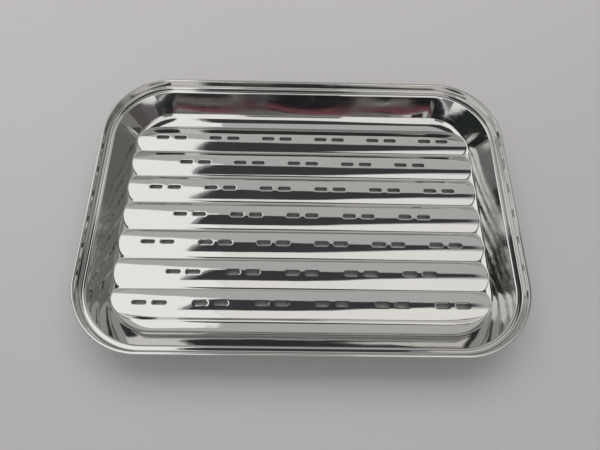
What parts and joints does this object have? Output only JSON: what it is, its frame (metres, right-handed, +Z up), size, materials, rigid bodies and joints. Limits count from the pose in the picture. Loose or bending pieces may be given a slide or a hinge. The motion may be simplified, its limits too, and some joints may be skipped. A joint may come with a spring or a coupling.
{
  "type": "grill tray",
  "caption": "Shallow rectangular grill or drip tray pressed from polished sheet, with slotted parallel ribs, rounded corners and a stepped, rolled rim.",
  "frame": {"origin": "under the middle of the tray, in the plane that it rests on", "axes": "+X along the ribs and the long side, +Y across the ribs towards the back, +Z up"},
  "size_m": [0.34, 0.2378, 0.0325],
  "materials": {
    "polished_sheet": "mirror-polished stainless sheet, about 0.5 mm thick, with faint drawing lines on the walls and rim"
  },
  "bodies": {
    "root": {"foot_strip_back": "polished_sheet", "foot_strip_front": "polished_sheet", "rib_1": "polished_sheet", "rib_2": "polished_sheet", "rib_3": "polished_sheet", "rib_4": "polished_sheet", "rib_5": "polished_sheet", "rib_6": "polished_sheet", "rib_7": "polished_sheet", "rim_back": "polished_sheet", "rim_corner_back_left": "polished_sheet", "rim_corner_back_right": "polished_sheet", "rim_corner_front_left": "polished_sheet", "rim_corner_front_right": "polished_sheet", "rim_front": "polished_sheet", "rim_left": "polished_sheet", "rim_right": "polished_sheet", "wall_back": "polished_sheet", "wall_corner_back_left": "polished_sheet", "wall_corner_back_right": "polished_sheet", "wall_corner_front_left": "polished_sheet", "wall_corner_front_right": "polished_sheet", "wall_front": "polished_sheet", "wall_left": "polished_sheet", "wall_right": "polished_sheet"}
  },
  "joints": []
}
